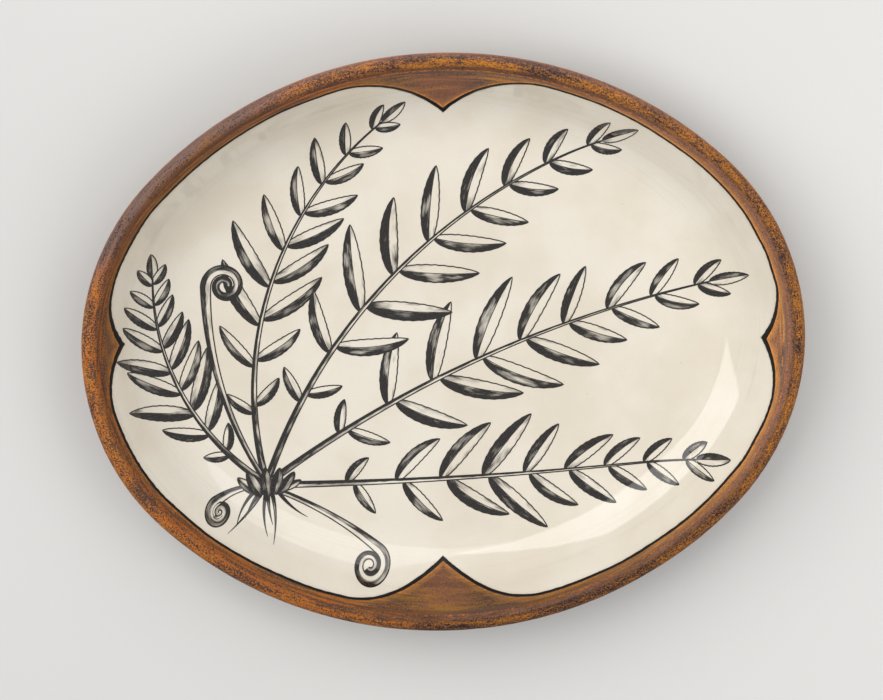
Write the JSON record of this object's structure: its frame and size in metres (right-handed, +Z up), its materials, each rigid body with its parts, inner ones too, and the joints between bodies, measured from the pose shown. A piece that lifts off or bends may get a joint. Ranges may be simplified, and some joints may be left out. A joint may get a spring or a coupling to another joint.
{
  "type": "oval serving dish",
  "caption": "Shallow oval ceramic serving dish with a rounded rim coil, a cusped cream field inside a rust border, and a foot ring.",
  "frame": {"origin": "centre of the dish in plan, on the plane that the foot ring stands on", "axes": "+Z up out of the dish, +X along its length, +Y across its width, towards the top of the picture"},
  "size_m": [0.3798, 0.3098, 0.044],
  "materials": {
    "bare_clay": "unglazed buff clay, matt",
    "rim_clay": "unglazed buff clay, matt, under the glaze",
    "foot_clay": "unglazed buff clay, rubbed smooth",
    "cream_glaze": "glossy clear-over-cream glaze",
    "rust_glaze": "satin mottled rust and brown glaze",
    "black_line": "satin black brushed line"
  },
  "bodies": {
    "root": {"dish_shell": "bare_clay", "rim_coil": "rim_clay", "foot_ring": "foot_clay", "cream_glaze": "cream_glaze", "rust_glaze": "rust_glaze", "border_line": "black_line"}
  },
  "joints": []
}
